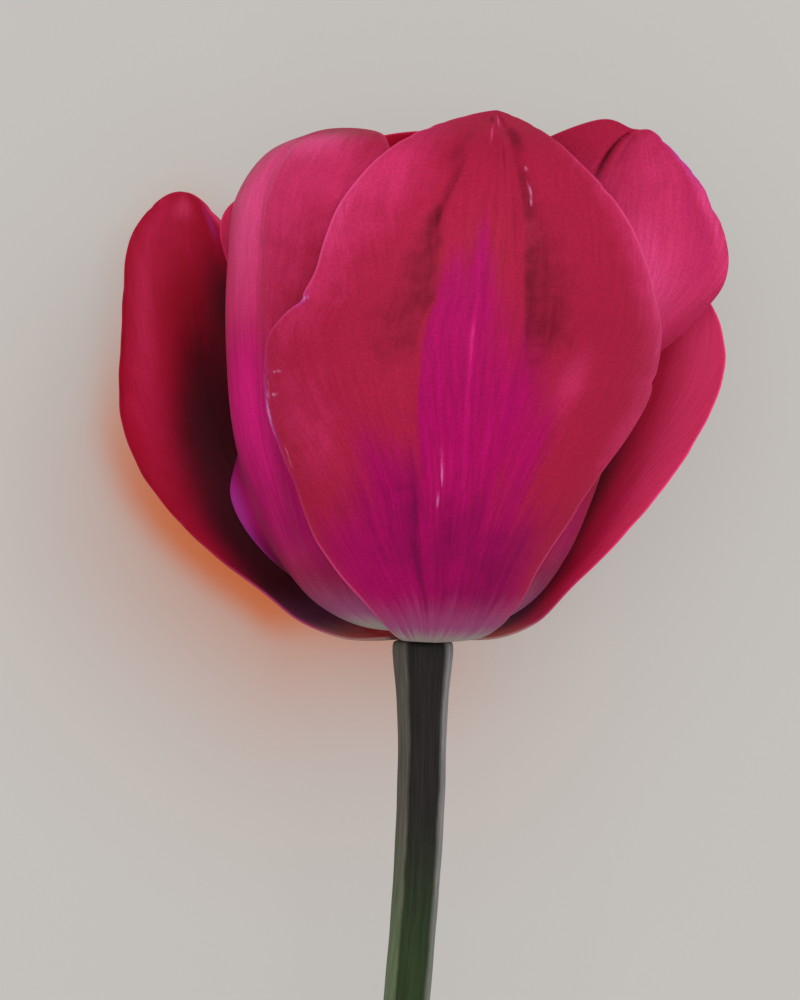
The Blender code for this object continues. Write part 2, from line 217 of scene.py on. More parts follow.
INNER_RIGHT = Petal(
    "petal_inner_right",
    azimuth=62,
    shoulder=0.78,
    roundness=2.5,
    notch=1.8,
    slot="petal_magenta",
    stations=[
        *INNER_CLAW,
        (4.8, 12.8, 11.0, 10.0, 1.0, 1.0, 0),
        (10.2, 17.0, 15.0, 13.0, 1.0, 1.0, 0),
        (17.0, 20.0, 18.0, 13.5, 1.0, 1.0, 0),
        (24.0, 22.3, 20.0, 12.5, 1.0, 1.0, 0),
        (31.0, 23.3, 21.5, 12.5, 1.0, 0.5, 4),
        (36.0, 23.5, 21.5, 16.0, 1.0, -0.5, 22),
        (42.0, 23.5, 21.0, 20.0, 1.0, -1.0, 34),
        (50.0, 23.7, 18.0, 18.5, 1.0, -1.0, 38),
        (56.0, 25.3, 16.0, 13.0, 1.0, -1.0, 38),
        (61.8, 28.0, 15.0, 5.0, 1.0, -1.0, 36),
    ],
)

INNER_BACK = Petal(
    "petal_inner_back",
    thinness=0.5,
    azimuth=182,
    slot="petal_crimson",
    stations=[
        *INNER_CLAW,
        (4.8, 12.8, 11.0, 11.0, 1.0, 1.0, 0),
        (10.2, 17.0, 15.0, 15.0, 1.0, 1.0, 0),
        (17.0, 20.0, 18.0, 18.0, 1.0, 1.0, 0),
        (24.0, 22.3, 20.0, 20.0, 1.0, 1.0, 0),
        (34.0, 23.3, 21.5, 22.0, 1.0, 0.8, 0),
        (45.0, 24.0, 21.5, 27.0, 1.0, 0.2, 0),
        (53.0, 23.5, 21.0, 29.5, 1.0, -0.4, 0),
        (58.0, 20.0, 20.0, 25.0, 1.0, 0.0, 0),
        (62.4, 14.0, 20.0, 22.0, 1.0, 0.5, 0),
    ],
)

# Soft patches of paint, each: place across, place along, half width to its left, half width to its
# right, half length, slant, strength
OUTER_FRONT.paint = {
    "magenta": [
        (-0.255, 0.52, 0.010, 0.50, 0.18, 0.0, 1.0),
        (-0.275, 0.665, 0.012, 0.30, 0.07, -0.3, 0.55),
        (-0.05, 0.45, 0.16, 0.22, 0.14, 0.0, 0.8),
        (-0.07, 0.70, 0.06, 0.06, 0.09, 0.0, 0.7),
        (0.30, 0.44, 0.16, 0.14, 0.10, -0.5, 0.6),
        (-0.42, 0.36, 0.16, 0.20, 0.12, -0.4, 0.85),
        (-0.62, 0.24, 0.30, 0.30, 0.09, 0.0, 0.9),
        (0.0, 0.24, 0.95, 0.90, 0.13, 0.0, 1.0),
        (0.0, 0.12, 1.2, 1.2, 0.10, 0.0, 1.0),
    ],
    "deep": [
        (-0.10, 0.30, 0.25, 0.25, 0.11, 0.0, 0.6),
        (-0.29, 0.32, 0.50, 0.02, 0.16, 0.0, 0.55),
        # A thin line of painted shade down the groove beside the flame
        (-0.300, 0.30, 0.020, 0.012, 0.16, 0.0, 0.6),
        (0.45, 0.25, 0.50, 0.45, 0.12, 0.2, 0.7),
        (0.1, 0.18, 0.8, 0.8, 0.05, 0.0, 0.4),
    ],
    # Dark streaks and blotches: partly the petal's own marks, partly painted shade along the grooves of
    # the blade
    "dark": [
        (-0.29, 0.845, 0.05, 0.03, 0.04, 0.6, 0.5),
        (-0.345, 0.785, 0.06, 0.025, 0.03, 0.6, 0.75),
        (-0.33, 0.73, 0.14, 0.03, 0.05, 0.2, 0.5),
        (-0.29, 0.64, 0.32, 0.015, 0.10, 0.0, 0.55),
        (-0.05, 0.90, 0.25, 0.25, 0.05, 0.0, 0.25),
        (-0.36, 0.90, 0.12, 0.08, 0.05, 0.6, 0.45),
        (0.19, 0.83, 0.03, 0.08, 0.05, 0.0, 0.5),
        (0.180, 0.71, 0.02, 0.10, 0.04, 0.0, 0.4),
        (0.175, 0.645, 0.015, 0.10, 0.04, 0.0, 0.4),
        (0.19, 0.63, 0.04, 0.42, 0.12, 0.2, 0.5),
        (0.21, 0.77, 0.06, 0.26, 0.10, 0.2, 0.35),
        (0.24, 0.92, 0.08, 0.20, 0.035, 0.0, 0.6),
        (-0.10, 0.97, 0.10, 0.05, 0.015, 0.0, 0.6),
        (0.05, 0.87, 0.02, 0.02, 0.07, 0.0, 0.4),
        (-0.02, 0.80, 0.015, 0.02, 0.08, 0.0, 0.35),
        (0.11, 0.78, 0.02, 0.02, 0.08, 0.0, 0.4),
    ],
    # Lighter margins: partly the petal's own tone, partly painted sheen
    "light": [
        (-0.80, 0.86, 0.35, 0.32, 0.10, -1.0, 0.7),
        (-0.95, 0.72, 0.20, 0.20, 0.12, 0.0, 0.6),
        (0.95, 0.72, 0.16, 0.20, 0.18, 0.0, 0.6),
        (-0.75, 0.47, 0.25, 0.20, 0.10, -0.6, 0.35),
        (0.42, 0.54, 0.10, 0.10, 0.06, 0.6, 0.5),
        (0.95, 0.47, 0.12, 0.12, 0.08, 0.0, 0.5),
    ],
    "vivid": [
        (-0.062, 0.56, 0.016, 0.016, 0.20, -0.12, 0.5),
        (-0.17, 0.40, 0.06, 0.16, 0.06, 0.0, 0.35),
        (0.06, 0.46, 0.05, 0.08, 0.08, 0.0, 0.25),
    ],
    "pale": [
        (-0.062, 0.60, 0.006, 0.006, 0.10, -0.12, 0.35),
        (-0.95, 0.80, 0.08, 0.08, 0.10, 0.0, 0.4),
        (0.97, 0.68, 0.05, 0.05, 0.22, 0.0, 0.4),
        (0.02, 0.965, 0.03, 0.03, 0.02, 0.0, 0.7),
        (-0.08, 0.93, 0.02, 0.02, 0.03, 0.0, 0.5),
    ],
    "scar": [
        (0.270, 0.862, 0.020, 0.020, 0.006, 0.0, 0.8),
        (0.250, 0.830, 0.016, 0.020, 0.016, 0.0, 0.8),
        (0.240, 0.808, 0.014, 0.012, 0.008, 0.0, 0.7),
        (-0.165, 0.437, 0.011, 0.009, 0.020, 0.0, 0.65),
        (-0.158, 0.400, 0.014, 0.012, 0.026, 0.0, 0.65),
        (-0.172, 0.360, 0.011, 0.009, 0.016, 0.0, 0.6),
        (-0.985, 0.668, 0.02, 0.03, 0.007, 0.0, 0.8),
        (-0.925, 0.560, 0.030, 0.030, 0.004, -4.0, 0.9),
        (-0.930, 0.543, 0.035, 0.035, 0.004, -4.0, 0.9),
        (-0.930, 0.526, 0.030, 0.030, 0.004, -4.0, 0.8),
        (-0.985, 0.50, 0.014, 0.014, 0.05, 0.3, 0.8),
        (-0.955, 0.43, 0.012, 0.012, 0.03, 0.3, 0.7),
        (0.40, 0.690, 0.014, 0.014, 0.003, 0.0, 0.7),
        (0.46, 0.697, 0.010, 0.010, 0.003, 0.0, 0.7),
        (0.53, 0.695, 0.008, 0.008, 0.003, 0.0, 0.7),
    ],
    "violet": [
        (-1.0, 0.50, 0.02, 0.018, 0.07, 0.0, 0.9),
        (-1.0, 0.665, 0.02, 0.03, 0.012, 0.0, 0.7),
    ],
    "rim": [
        (1.0, 0.74, 0.2, 0.2, 0.14, 0.0, 0.55),
        (-1.0, 0.80, 0.2, 0.2, 0.16, 0.0, 0.6),
        (-1.0, 0.22, 0.2, 0.2, 0.12, 0.0, 0.5),
        (1.0, 0.28, 0.2, 0.2, 0.12, 0.0, 0.4),
    ],
}
INNER_LEFT.paint = {
    "magenta": [
        (0.0, 0.36, 0.9, 0.9, 0.18, 0.0, 1.0),
        (-0.1, 0.49, 0.6, 0.3, 0.10, 0.0, 0.95),
        (-0.9, 0.34, 0.4, 0.4, 0.16, 0.0, 1.0),
    ],
    "deep": [(0.2, 0.15, 1.0, 1.0, 0.08, 0.0, 0.6), (0.5, 0.26, 0.4, 0.4, 0.10, 0.0, 0.6)],
    # Vivid, light and pale are partly the petal's own hotter and paler tones and partly painted light on a
    # side that faces away from most of the lamps
    "vivid": [
        (-0.15, 0.50, 0.5, 0.30, 0.17, 0.0, 0.9),
        (-0.85, 0.32, 0.2, 0.3, 0.07, 0.0, 0.8),
        (-0.15, 0.28, 0.15, 0.10, 0.10, 0.0, 0.35),
    ],
    "light": [
        (0.0, 0.86, 1.1, 1.1, 0.12, 0.0, 0.8),
        (-0.3, 0.70, 0.5, 0.5, 0.13, 0.0, 0.9),
        (-0.2, 0.30, 0.3, 0.3, 0.10, 0.0, 0.2),
    ],
    "pale": [
        (-0.1, 0.82, 0.35, 0.20, 0.12, 0.0, 0.6),
        (0.3, 0.93, 0.5, 0.5, 0.05, 0.0, 0.6),
        (-0.20, 0.70, 0.4, 0.25, 0.12, 0.0, 0.3),
        (0.3, 0.11, 0.6, 0.6, 0.02, 0.0, 0.4),
    ],
    "violet": [
        (-1.0, 0.33, 0.10, 0.14, 0.05, 0.0, 0.9),
        (-1.0, 0.27, 0.10, 0.06, 0.08, 0.0, 0.8),
    ],
    "rim": [(0.0, 1.0, 1.0, 1.0, 0.08, 0.0, 0.5), (-1.0, 0.15, 0.3, 0.3, 0.10, 0.0, 0.5)],
}
OUTER_LEFT.paint = {
    # Painted light: light and pale brighten the band of the open face that the lamps reach; near the tip
    # they are the rolled rim's pink
    "light": [
        (0.75, 0.74, 0.35, 0.22, 0.30, 0.0, 0.7),
        (0.2, 0.92, 0.6, 0.5, 0.08, 0.0, 0.5),
    ],
    "pale": [
        (0.70, 0.76, 0.20, 0.16, 0.18, 0.0, 0.4),
        (0.1, 0.97, 0.5, 0.4, 0.03, 0.0, 0.6),
        (-0.92, 0.955, 0.10, 0.12, 0.035, 0.0, 0.9),
    ],
    # Painted shade: a very dark patch where the inner cup shades the open face
    "crevice_shade": [
        (0.06, 0.55, 1.0, 0.44, 0.22, -1.1, 0.8),
        (-0.50, 0.78, 0.5, 0.28, 0.10, 0.0, 0.7),
        (0.32, 0.33, 1.2, 0.42, 0.11, -1.0, 0.85),
        (0.60, 0.19, 1.6, 0.50, 0.09, 0.0, 1.0),
    ],
    # The first patch is painted shade, where the inner cup shades the open face; the second darkens along
    # one margin
    "dark": [(0.20, 0.65, 0.4, 0.30, 0.22, -0.9, 0.6), (1.0, 0.6, 0.05, 0.05, 0.6, 0.0, 0.6)],
    "magenta": [(0.9, 0.40, 0.4, 0.4, 0.14, 0.0, 0.3)],
    # Painted shade: a violet line beside the rolled rim at the tip
    "violet": [(-0.70, 0.950, 0.07, 0.07, 0.03, -2.0, 0.8)],
    "rim": [(-0.8, 0.93, 0.8, 0.8, 0.06, 0.0, 0.8), (1.0, 0.18, 0.3, 0.3, 0.10, 0.0, 0.6)],
}
OUTER_RIGHT.paint = {
    # Painted light: light, pale and vivid brighten the open face, which the lamps leave dim
    "light": [(-0.8, 0.66, 0.6, 0.6, 0.42, 0.0, 1.0)],
    "rim": [(-1.0, 0.4, 0.3, 0.3, 0.3, 0.0, 0.4)],
    "pale": [
        (-0.75, 0.70, 0.45, 0.40, 0.32, 0.0, 1.0),
        (-0.9, 0.45, 0.25, 0.25, 0.25, 0.0, 0.9),
    ],
    "magenta": [(-0.85, 0.42, 0.5, 0.5, 0.28, 0.0, 0.9)],
    "vivid": [(-0.90, 0.40, 0.3, 0.3, 0.30, 0.0, 0.9)],
    # Painted shade: a very dark patch down the crevice beside the inner cup
    "crevice_shade": [
        (-0.05, 0.42, 0.25, 0.40, 0.20, 0.0, 0.65),
        (0.0, 0.20, 0.50, 1.0, 0.13, 0.0, 1.0),
    ],
}
INNER_RIGHT.paint = {
    # Painted light: light brightens the flared right lobe and the middle of the blade
    "light": [(0.6, 0.80, 0.8, 0.8, 0.25, 0.0, 0.85), (0.2, 0.62, 0.5, 0.5, 0.1, 0.0, 0.85)],
    "pale": [(0.25, 0.70, 0.3, 0.4, 0.14, 0.0, 0.6), (0.95, 0.85, 0.08, 0.1, 0.15, 0.0, 0.5)],
    "magenta": [(0.8, 0.82, 0.25, 0.25, 0.2, 0.0, 0.4), (0.0, 0.28, 0.9, 0.9, 0.12, 0.0, 0.7)],
    "dark": [(-0.12, 0.93, 0.05, 0.03, 0.06, 0.0, 0.9), (-0.45, 0.84, 0.20, 0.15, 0.08, 0.0, 0.4)],
    "deep": [(0.2, 0.17, 1.0, 1.0, 0.09, 0.0, 0.8)],
    "violet": [(1.0, 0.93, 0.06, 0.06, 0.05, 0.0, 0.8)],
}
INNER_BACK.paint = {
    "magenta": [(0.0, 0.35, 0.8, 0.8, 0.2, 0.0, 0.7)],
    # Painted light: the patches at the right margin brighten an edge that lies in shade
    "light": [(0.0, 0.9, 1.0, 1.0, 0.12, 0.0, 0.3), (1.0, 0.85, 0.6, 0.3, 0.2, 0.0, 1.0)],
    "pale": [(1.0, 0.85, 0.5, 0.3, 0.2, 0.0, 0.5)],
}

# Nicks in the margins, each: side, place along, depth, half width along
OUTER_FRONT.nicks = [
    (-1, 0.665, 0.8, 0.012),
    (-1, 0.56, 0.35, 0.006),
    (-1, 0.535, 0.3, 0.005),
    (-1, 0.925, 0.5, 0.010),
    (-1, 0.948, 0.9, 0.008),
    (-1, 0.965, 0.5, 0.005),
    (-1, 0.982, 0.7, 0.005),
    (1, 0.985, 0.9, 0.006),
    (1, 0.835, 0.5, 0.010),
    (1, 0.548, 0.7, 0.010),
    (1, 0.955, 0.5, 0.008),
]
INNER_RIGHT.nicks = [
    (1, 0.955, 0.4, 0.008),
    (1, 0.925, 0.2, 0.007),
    (1, 0.90, 0.25, 0.008),
    (1, 0.845, 0.9, 0.030),
    (1, 0.815, 0.2, 0.010),
]
OUTER_LEFT.nicks = [(1, 0.965, 0.4, 0.008), (-1, 0.97, 0.5, 0.01)]

# Flutes of the blades, each: place across, half width, height, from, to
OUTER_FRONT.flutes = [
    (-0.30, 0.035, -0.16, 0.12, 0.78),
    (-0.24, 0.040, 0.14, 0.12, 0.72),
    (-0.055, 0.012, 0.10, 0.30, 0.95),
    (0.17, 0.05, -0.22, 0.45, 1.1),
    (0.05, 0.06, 0.10, 0.50, 1.1),
    (-0.36, 0.04, -0.14, 0.62, 1.0),
]
INNER_RIGHT.flutes = [
    (-0.12, 0.035, -0.5, 0.82, 1.2),
    (-0.04, 0.04, 0.35, 0.82, 1.2),
]
INNER_LEFT.flutes = [(0.0, 0.05, -0.12, 0.2, 1.1), (0.12, 0.05, 0.10, 0.2, 1.1)]
OUTER_LEFT.flutes = [(0.0, 0.05, 0.15, 0.1, 1.0)]
OUTER_RIGHT.flutes = [(0.0, 0.05, 0.15, 0.1, 1.0)]


def smooth_rows(places, rows, at):
    """Reads rows of numbers, given at these places, off the smooth curve through them."""
    places = np.asarray(places, float)
    rows = np.asarray(rows, float)
    step = np.diff(places)
    rise = np.diff(rows, axis=0) / step[:, None]
    slope = np.empty_like(rows)
    slope[0] = rise[0]
    slope[-1] = rise[-1]
    weighted = rise[:-1] * step[1:, None] + rise[1:] * step[:-1, None]
    slope[1:-1] = weighted / (step[:-1] + step[1:])[:, None]
    k = np.clip(np.searchsorted(places, at) - 1, 0, len(step) - 1)
    t = ((at - places[k]) / step[k])[:, None]
    span = step[k][:, None]
    start = (1 + 2 * t) * (1 - t) ** 2 * rows[k] + t * (1 - t) ** 2 * span * slope[k]
    end = t * t * (3 - 2 * t) * rows[k + 1] + t * t * (t - 1) * span * slope[k + 1]
    return start + end


def smoothstep(low, high, value):
    """0 below the low value, 1 above the high one, and a smooth rise between them."""
    t = np.clip((value - low) / (high - low), 0.0, 1.0)
    return t * t * (3 - 2 * t)


def running_sum(values, step):
    """The trapezium integral of the values up to each of them."""
    return np.concatenate([[0.0], np.cumsum((values[1:] + values[:-1]) / 2) * step])


def half_section(petal, width, bend, radius, shares):
    """Sideways and outward distance from the rib, at these shares of the way to a margin."""
    fine = np.linspace(0.0, 1.0, SECTION_STEPS + 1)
    step = width / SECTION_STEPS
    bending = petal.rib_bend + (bend - petal.rib_bend) * fine**petal.bend_growth
    turn = running_sum(bending / max(radius, SMALLEST_BEND_RADIUS), step)
    sideways = running_sum(np.cos(turn), step)
    outward = -running_sum(np.sin(turn), step)
    return np.interp(shares, fine, sideways), np.interp(shares, fine, outward)


def nick_depth(petal, side, share):
    """How far the small tears and scallops of a margin cut into it here, in millimetres."""
    depth = 0.0
    for nick_side, place, cut, half_width in petal.nicks:
        if nick_side == side:
            depth += cut * max(0.0, 1 - abs(share - place) / half_width)
    fine = math.sin(61 * share + 2.1 * petal.azimuth) + math.sin(97 * share + petal.azimuth * side)
    coarse = math.sin(23 * share + petal.azimuth) + math.sin(37 * share - 1.7 * petal.azimuth * side)
    return depth + (FINE_RIPPLE * fine + COARSE_RIPPLE * coarse) * min(1.0, 3 * share)


def petal_sheet(petal):
    """The petal's middle surface, with what the skin and the paint need to know of each point."""
    stations = np.array(petal.stations, float)
    reach = np.cumsum(np.hypot(*np.diff(stations[:, :2], axis=0, prepend=stations[:1, :2]).T))
    along = 1 - (1 - np.linspace(0.0, 1.0, CELLS_ALONG + 1)) ** TIP_CROWDING
    table = smooth_rows(reach / reach[-1], stations, along)
    even = np.linspace(-1.0, 1.0, CELLS_ACROSS + 1)[1:-1]
    margin = 1 - np.array(MARGIN_SHARES)
    across = np.unique(np.concatenate([[-1.0, 1.0], -margin, margin, even]))
    azimuth = math.radians(petal.azimuth)
    points = np.zeros((len(along), len(across), 3))
    widths = np.zeros((len(along), 2))
    for row, share in enumerate(along):
        height, radius, left, right, left_bend, right_bend, twist = table[row]
        closing = np.clip((share - petal.shoulder) / (1 - petal.shoulder), 0, 1)
        closure = (1 - closing**petal.roundness) ** petal.bluntness
        near_tip = np.clip((share - NOTCH_START) / (1 - NOTCH_START), 0, 1) ** 2
        facing = azimuth - math.radians(twist)
        outward = np.array([math.sin(facing), math.cos(facing)])
        sideways = np.array([math.cos(facing), -math.sin(facing)])
        rib = radius * np.array([math.sin(azimuth), math.cos(azimuth)])
        rib += petal.lean * share**2 * np.array([math.cos(azimuth), -math.sin(azimuth)])
        for side, width, bend in ((-1, left, left_bend), (1, right, right_bend)):
            here = across < 0 if side < 0 else across >= 0
            shares = np.abs(across[here])
            trimmed = (width - nick_depth(petal, side, share)) * closure
            widths[row, int(side > 0)] = trimmed
            offset, lift = half_section(petal, trimmed, bend, radius, shares)
            wave = math.sin(2 * math.pi * petal.waves * share + azimuth + side)
            lift = lift + petal.ruffle * wave * shares**4 * min(1.0, 2 * share) * closure
            flat = rib + side * offset[:, None] * sideways + lift[:, None] * outward
            points[row, here, 0] = flat[:, 0]
            points[row, here, 1] = height - petal.notch * near_tip * np.exp(-((offset / NOTCH_WIDTH) ** 2))
            points[row, here, 2] = flat[:, 1]
    return points, along, across, widths, reach[-1]


def unit_normals(points):
    """Unit normals of a grid of points, facing away from the bloom's axis."""
    down = np.gradient(points, axis=0)
    side = np.gradient(points, axis=1)
    normal = np.cross(down, side)
    length = np.linalg.norm(normal, axis=2, keepdims=True)
    normal = normal / np.maximum(length, TINY)
    for row in range(len(normal) - 1, 0, -1):
        if length[row].min() > TINY:
            break
        normal[row] = normal[row - 1]
    middle = points.shape[0] // 2, points.shape[1] // 2
    outward = points[middle] * (1, 0, 1)
    return normal if normal[middle] @ outward > 0 else -normal


MASKS = ("light", "magenta", "deep", "vivid", "pale", "dark", "crevice_shade", "rim", "violet", "scar")


def painted(patches, across, along):
    """A mask of soft patches laid over one another, from 0 to 1 at each point."""
    mask = np.zeros((len(along), len(across)))
    for place_across, place_along, left_half, right_half, half_length, slant, strength in patches:
        up = along[:, None] - place_along
        side = across[None, :] - place_across - slant * up
        half_width = np.where(side < 0, left_half, right_half)
        blot = strength * np.exp(-((side / half_width) ** 2) - (up / half_length) ** 2)
        mask = 1 - (1 - mask) * (1 - np.clip(blot, 0, 1))
    return mask


def relief(petal, across, along, edge):
    """How far the flutes lift the blade off its plain sections."""
    lift = np.zeros_like(edge)
    for place, half_width, height, low, high in petal.flutes:
        ridge = np.exp(-(((across[None, :] - place) / half_width) ** 2))
        span = smoothstep(low, low + FLUTE_FADE, along) * (1 - smoothstep(high - FLUTE_FADE, high, along))
        lift += height * ridge * span[:, None]
    return lift * smoothstep(0.0, FLAT_MARGIN, edge)


def blade_thickness(reach, edge):
    """Thick in the claw, thinner in the blade, and rounded off at the margins."""
    blade = BLADE_THICKNESS + (CLAW_THICKNESS - BLADE_THICKNESS) * np.exp(-reach[:, None] / CLAW_FADE)
    thickness = blade + (MARGIN_THICKNESS - blade) * np.exp(-edge / MARGIN_FADE)
    rounding = np.clip(edge / MARGIN_ROUNDING, 0.0, 1.0)
    return thickness * np.sqrt(1 - (1 - rounding) ** 2)


def quads(grid):
    """The quads between neighbours in a grid of point numbers."""
    return np.stack([grid[:-1, :-1], grid[:-1, 1:], grid[1:, 1:], grid[1:, :-1]], axis=-1).reshape(-1, 4)


def two_skins(rows, columns):
    """Faces of two skins that meet in the side margins and in one point at the tip, the foot closed."""
    number = np.arange(rows * columns).reshape(rows, columns)
    front = number.copy()
    front[-1] = number[-1, columns // 2]
    back = number + rows * columns
    back[:, 0] = front[:, 0]
    back[:, -1] = front[:, -1]
    back[-1] = front[-1]
    foot = np.stack([front[0, 1:], front[0, :-1], back[0, :-1], back[0, 1:]], axis=-1)
    return np.concatenate([quads(front), quads(back)[:, ::-1], foot])


def make_petal(petal):
    """A closed petal: two skins either side of the middle surface, meeting in a rounded margin."""
    points, along, across, widths, length = petal_sheet(petal)
    normal = unit_normals(points)
    reach = along * length
    side_width = np.where(across[None, :] < 0, widths[:, :1], widths[:, 1:])
    side_slope = np.gradient(side_width, reach, axis=0)
    edge = side_width * (1 - np.abs(across[None, :])) / np.sqrt(1 + side_slope**2)
    middle = points + normal * relief(petal, across, along, edge)[:, :, None]
    half = normal * blade_thickness(reach, edge)[:, :, None] / 2
    both = np.concatenate([(middle + half).reshape(-1, 3), (middle - half).reshape(-1, 3)])
    both[:, 2] = np.maximum(both[:, 2], -AXIS_HEIGHT)
    facts = {
        "reach": np.broadcast_to(reach[:, None], edge.shape),
        "arc": across[None, :] * side_width,
        "edge": edge,
        "vein": across[None, :] / (1 + VEIN_FAN * along[:, None] ** 3),
    }
    for mask in MASKS:
        facts[mask] = painted(petal.paint.get(mask, []), across, along)
    return finish_grid(petal.name + "_skin", both, two_skins(*edge.shape), facts)


def add_object(name, data):
    """A new object in the scene."""
    obj = bpy.data.objects.new(name, data)
    bpy.context.scene.collection.objects.link(obj)
    return obj


def add_fact(mesh, name, values):
    """Gives each point of the mesh a value that its material reads."""
    layer = mesh.attributes.new(name, "FLOAT", "POINT")
    layer.data.foreach_set("value", np.asarray(values, np.float32))


def skin_object(name, mesh, facts):
    """A smooth closed piece of this mesh, placed round the bloom's base, with its facts."""
    for fact, values in facts.items():
        add_fact(mesh, fact, values)
    shape = bmesh.new()
    shape.from_mesh(mesh)
    bmesh.ops.recalc_face_normals(shape, faces=shape.faces)
    shape.to_mesh(mesh)
    shape.free()
    mesh.shade_smooth()
    obj = add_object(name, mesh)
    obj.location = (BLOOM_BASE[0] * MM, BLOOM_BASE[1] * MM, AXIS_HEIGHT * MM)
    return obj


def finish_grid(name, points, faces, facts):
    """A piece of two skins of points and their quads, joined where they meet."""
    faces = [face for face in map(dict.fromkeys, faces.tolist()) if len(face) > 2]
    used = sorted(set().union(*faces))
    number = {old: new for new, old in enumerate(used)}
    faces = [[number[corner] for corner in face] for face in faces]
    mesh = bpy.data.meshes.new(name)
    mesh.from_pydata((points[used] * MM).tolist(), [], faces)
    return skin_object(name, mesh, {fact: np.tile(np.ravel(v), 2)[used] for fact, v in facts.items()})


class Nodes:
    """A short way to write a material's nodes."""

    def __init__(self, name):
        self.material = bpy.data.materials.new(name)
        self.material.use_nodes = True
        self.tree = self.material.node_tree
        self.shader = self.tree.nodes["Principled BSDF"]
        self.output = self.tree.nodes["Material Output"]

    def fill(self, node, inputs):
        """Links another node's output to each input, or writes a number or colour."""
        for name, value in inputs.items():
            socket = node.inputs[name]
            if isinstance(value, bpy.types.NodeSocket):
                self.tree.links.new(value, socket)
            elif socket.type == "RGBA":
                socket.default_value = (*value, 1.0)
            else:
                socket.default_value = value

    def node(self, kind, inputs, **settings):
        node = self.tree.nodes.new(kind)
        for setting, value in settings.items():
            setattr(node, setting, value)
        self.fill(node, inputs)
        return node

    def value(self, name):
        """A fact that the mesh carries for each point."""
        return self.node("ShaderNodeAttribute", {}, attribute_name=name).outputs["Fac"]

    def math(self, operation, first, second):
        return self.node("ShaderNodeMath", {0: first, 1: second}, operation=operation).outputs[0]

    def plus(self, first, second):
        return self.math("ADD", first, second)

    def times(self, first, second):
        return self.math("MULTIPLY", first, second)

    def about_zero(self, noise, spread):
        """The noise moved to lie either side of 0, and stretched."""
        return self.times(self.math("SUBTRACT", noise, 0.5), spread)

    def fade(self, value, low, high, at_low=0.0, at_high=1.0):
        """A smooth change from one number to another, between a low and a high value."""
        inputs = {"Value": value, "From Min": low, "From Max": high, "To Min": at_low, "To Max": at_high}
        return self.node("ShaderNodeMapRange", inputs, interpolation_type="SMOOTHSTEP").outputs["Result"]

    def object_place(self):
        """Where a point lies, in the object's own metres."""
        return self.node("ShaderNodeTexCoord", {}).outputs["Object"]

    def place(self, x, y, z=0.0):
        return self.node("ShaderNodeCombineXYZ", {0: x, 1: y, 2: z}).outputs[0]

    def noise(self, place, scale, detail, roughness, distortion=0.0):
        inputs = {"Vector": place, "Scale": scale, "Detail": detail, "Roughness": roughness}
        return self.node("ShaderNodeTexNoise", {**inputs, "Distortion": distortion}).outputs["Fac"]

    def mix(self, share, first, second, kind="MIX"):
        """This share of the second colour over the first."""
        settings = {"data_type": "RGBA", "blend_type": kind, "clamp_factor": True}
        return self.node("ShaderNodeMix", {0: share, 6: first, 7: second}, **settings).outputs[2]

    def bump(self, height, strength, distance, under=None):
        """Low relief, over another one if there is one."""
        inputs = {"Height": height, "Strength": strength, "Distance": distance}
        if under is not None:
            inputs["Normal"] = under
        return self.node("ShaderNodeBump", inputs).outputs["Normal"]

    def shaded(self, colour, noise, low, high, darkest, brightest, share=1.0):
        """The colour, darker where the noise is low and brighter where it is high."""
        shade = self.fade(noise, low, high, darkest, brightest)
        return self.mix(share, colour, self.place(shade, shade, shade), "MULTIPLY")

    def let_light_through(self, share, colour):
        """Mixes in this share of light that comes through from behind."""
        through = self.node("ShaderNodeBsdfTranslucent", {"Color": colour}).outputs["BSDF"]
        both = {"Fac": share, 1: self.shader.outputs["BSDF"], 2: through}
        blend = self.node("ShaderNodeMixShader", both)
        self.fill(self.output, {"Surface": blend.outputs["Shader"]})

    def surface(self, colour, roughness, specular, normal):
        """Fills in the shader, and gives back the material."""
        looks = {"Base Color": colour, "Roughness": roughness, "Specular IOR Level": specular}
        self.fill(self.shader, {**looks, "Normal": normal})
        return self.material


CRIMSON = (0.34, 0.009, 0.042)
MAGENTA = (0.34, 0.001, 0.090)
PURPLE = (0.17, 0.001, 0.055)
DARK_CRIMSON = (0.10, 0.002, 0.010)
# The next three are partly the petals' own lighter tones and partly painted light on faces that the lamps
# leave dim
ROSE = (0.56, 0.028, 0.125)
PALE_ROSE = (0.88, 0.088, 0.30)
VIVID_PINK = (0.66, 0.008, 0.19)
# Painted shade, for the crevices beside the inner cup
CREVICE_SHADE_COLOUR = (0.105, 0.014, 0.024)
CLAW_LILAC = (0.30, 0.075, 0.19)
CLAW_GREEN = (0.34, 0.34, 0.27)
SCAR_PALE = (0.56, 0.17, 0.34)
VIOLET = (0.42, 0.045, 0.36)
SEEN_THROUGH = (1.0, 0.07, 0.17)
HARDLY_THROUGH = (0.02, 0.0, 0.002)
SHEEN_TINT = (1.0, 0.75, 0.85)
# How the veins' noise is stretched across and along the petal, and its shift in seed
FINE_VEINS = (46.0, 0.09, 0.0)
BROAD_VEINS = (12.0, 0.03, 7.0)
VEIN_SCALE = 1.5
SEED_STEP = 13.0  # from one petal's noise to the next one's
# The claw's colours up the petal: distances from and to, strength at each
LILAC_FADE = (7.5, 16.0, 0.85, 0.0)
GREEN_FADE = (5.0, 9.5, 0.8, 0.0)
CLAW_UNEVENNESS = 7.0
RIM_FADE = (0.1, 0.55, 1.0, 0.0)  # distances from the margin, strength at each


def vein_noise(n, stretch, seed, detail, roughness, distortion):
    """Noise drawn out along the petal into veins that fan out."""
    across, along, shift = stretch
    place = n.place(n.times(n.value("vein"), across), n.times(n.value("reach"), along), seed + shift)
    return n.noise(place, VEIN_SCALE, detail, roughness, distortion)


